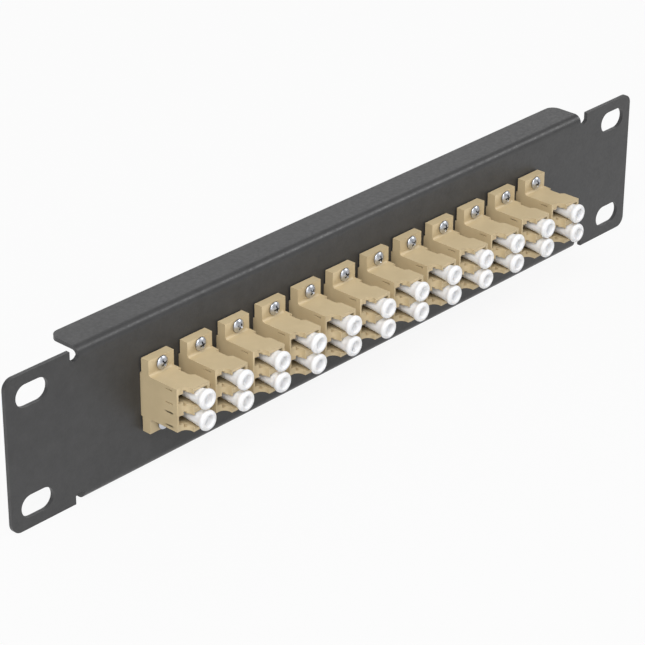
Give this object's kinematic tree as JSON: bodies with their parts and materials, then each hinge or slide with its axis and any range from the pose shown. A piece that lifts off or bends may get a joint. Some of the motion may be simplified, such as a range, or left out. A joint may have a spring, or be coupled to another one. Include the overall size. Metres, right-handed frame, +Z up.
{
  "type": "fibre patch panel",
  "caption": "Folded sheet rack panel with a row of duplex fibre couplers screwed to its face, each port closed by a pull-off dust cap.",
  "frame": {"origin": "middle of the four-slot pattern, on the rear face of the ears", "axes": "+X to the right seen from the front, +Y towards the back, +Z up"},
  "size_m": [0.254, 0.0353, 0.0444],
  "materials": {
    "powder_coat": "fine matt powder coat",
    "beige_plastic": "moulded, satin",
    "white_plastic": "soft moulded, satin",
    "zinc": "bright zinc",
    "zirconia": "ground ceramic"
  },
  "bodies": {
    "panel_assembly": {"panel": "powder_coat", "coupler_01": "beige_plastic", "coupler_02": "beige_plastic", "coupler_03": "beige_plastic", "coupler_04": "beige_plastic", "coupler_05": "beige_plastic", "coupler_06": "beige_plastic", "coupler_07": "beige_plastic", "coupler_08": "beige_plastic", "coupler_09": "beige_plastic", "coupler_10": "beige_plastic", "coupler_11": "beige_plastic", "coupler_12": "beige_plastic", "upper_screws": "zinc", "lower_screws": "zinc", "split_sleeves": "zirconia", "rear_caps": "white_plastic"},
    "front_cap_01_upper": {"front_cap_01_upper": "white_plastic"},
    "front_cap_01_lower": {"front_cap_01_lower": "white_plastic"},
    "front_cap_02_upper": {"front_cap_02_upper": "white_plastic"},
    "front_cap_02_lower": {"front_cap_02_lower": "white_plastic"},
    "front_cap_03_upper": {"front_cap_03_upper": "white_plastic"},
    "front_cap_03_lower": {"front_cap_03_lower": "white_plastic"},
    "front_cap_04_upper": {"front_cap_04_upper": "white_plastic"},
    "front_cap_04_lower": {"front_cap_04_lower": "white_plastic"},
    "front_cap_05_upper": {"front_cap_05_upper": "white_plastic"},
    "front_cap_05_lower": {"front_cap_05_lower": "white_plastic"},
    "front_cap_06_upper": {"front_cap_06_upper": "white_plastic"},
    "front_cap_06_lower": {"front_cap_06_lower": "white_plastic"},
    "front_cap_07_upper": {"front_cap_07_upper": "white_plastic"},
    "front_cap_07_lower": {"front_cap_07_lower": "white_plastic"},
    "front_cap_08_upper": {"front_cap_08_upper": "white_plastic"},
    "front_cap_08_lower": {"front_cap_08_lower": "white_plastic"},
    "front_cap_09_upper": {"front_cap_09_upper": "white_plastic"},
    "front_cap_09_lower": {"front_cap_09_lower": "white_plastic"},
    "front_cap_10_upper": {"front_cap_10_upper": "white_plastic"},
    "front_cap_10_lower": {"front_cap_10_lower": "white_plastic"},
    "front_cap_11_upper": {"front_cap_11_upper": "white_plastic"},
    "front_cap_11_lower": {"front_cap_11_lower": "white_plastic"},
    "front_cap_12_upper": {"front_cap_12_upper": "white_plastic"},
    "front_cap_12_lower": {"front_cap_12_lower": "white_plastic"}
  },
  "joints": [
    {"name": "front_cap_01_upper_pull", "type": "slide", "parent": "panel_assembly", "child": "front_cap_01_upper", "axis": [0, -1, 0], "range_m": [0, 0.02]},
    {"name": "front_cap_01_lower_pull", "type": "slide", "parent": "panel_assembly", "child": "front_cap_01_lower", "axis": [0, -1, 0], "range_m": [0, 0.02]},
    {"name": "front_cap_02_upper_pull", "type": "slide", "parent": "panel_assembly", "child": "front_cap_02_upper", "axis": [0, -1, 0], "range_m": [0, 0.02]},
    {"name": "front_cap_02_lower_pull", "type": "slide", "parent": "panel_assembly", "child": "front_cap_02_lower", "axis": [0, -1, 0], "range_m": [0, 0.02]},
    {"name": "front_cap_03_upper_pull", "type": "slide", "parent": "panel_assembly", "child": "front_cap_03_upper", "axis": [0, -1, 0], "range_m": [0, 0.02]},
    {"name": "front_cap_03_lower_pull", "type": "slide", "parent": "panel_assembly", "child": "front_cap_03_lower", "axis": [0, -1, 0], "range_m": [0, 0.02]},
    {"name": "front_cap_04_upper_pull", "type": "slide", "parent": "panel_assembly", "child": "front_cap_04_upper", "axis": [0, -1, 0], "range_m": [0, 0.02]},
    {"name": "front_cap_04_lower_pull", "type": "slide", "parent": "panel_assembly", "child": "front_cap_04_lower", "axis": [0, -1, 0], "range_m": [0, 0.02]},
    {"name": "front_cap_05_upper_pull", "type": "slide", "parent": "panel_assembly", "child": "front_cap_05_upper", "axis": [0, -1, 0], "range_m": [0, 0.02]},
    {"name": "front_cap_05_lower_pull", "type": "slide", "parent": "panel_assembly", "child": "front_cap_05_lower", "axis": [0, -1, 0], "range_m": [0, 0.02]},
    {"name": "front_cap_06_upper_pull", "type": "slide", "parent": "panel_assembly", "child": "front_cap_06_upper", "axis": [0, -1, 0], "range_m": [0, 0.02]},
    {"name": "front_cap_06_lower_pull", "type": "slide", "parent": "panel_assembly", "child": "front_cap_06_lower", "axis": [0, -1, 0], "range_m": [0, 0.02]},
    {"name": "front_cap_07_upper_pull", "type": "slide", "parent": "panel_assembly", "child": "front_cap_07_upper", "axis": [0, -1, 0], "range_m": [0, 0.02]},
    {"name": "front_cap_07_lower_pull", "type": "slide", "parent": "panel_assembly", "child": "front_cap_07_lower", "axis": [0, -1, 0], "range_m": [0, 0.02]},
    {"name": "front_cap_08_upper_pull", "type": "slide", "parent": "panel_assembly", "child": "front_cap_08_upper", "axis": [0, -1, 0], "range_m": [0, 0.02]},
    {"name": "front_cap_08_lower_pull", "type": "slide", "parent": "panel_assembly", "child": "front_cap_08_lower", "axis": [0, -1, 0], "range_m": [0, 0.02]},
    {"name": "front_cap_09_upper_pull", "type": "slide", "parent": "panel_assembly", "child": "front_cap_09_upper", "axis": [0, -1, 0], "range_m": [0, 0.02]},
    {"name": "front_cap_09_lower_pull", "type": "slide", "parent": "panel_assembly", "child": "front_cap_09_lower", "axis": [0, -1, 0], "range_m": [0, 0.02]},
    {"name": "front_cap_10_upper_pull", "type": "slide", "parent": "panel_assembly", "child": "front_cap_10_upper", "axis": [0, -1, 0], "range_m": [0, 0.02]},
    {"name": "front_cap_10_lower_pull", "type": "slide", "parent": "panel_assembly", "child": "front_cap_10_lower", "axis": [0, -1, 0], "range_m": [0, 0.02]},
    {"name": "front_cap_11_upper_pull", "type": "slide", "parent": "panel_assembly", "child": "front_cap_11_upper", "axis": [0, -1, 0], "range_m": [0, 0.02]},
    {"name": "front_cap_11_lower_pull", "type": "slide", "parent": "panel_assembly", "child": "front_cap_11_lower", "axis": [0, -1, 0], "range_m": [0, 0.02]},
    {"name": "front_cap_12_upper_pull", "type": "slide", "parent": "panel_assembly", "child": "front_cap_12_upper", "axis": [0, -1, 0], "range_m": [0, 0.02]},
    {"name": "front_cap_12_lower_pull", "type": "slide", "parent": "panel_assembly", "child": "front_cap_12_lower", "axis": [0, -1, 0], "range_m": [0, 0.02]}
  ]
}
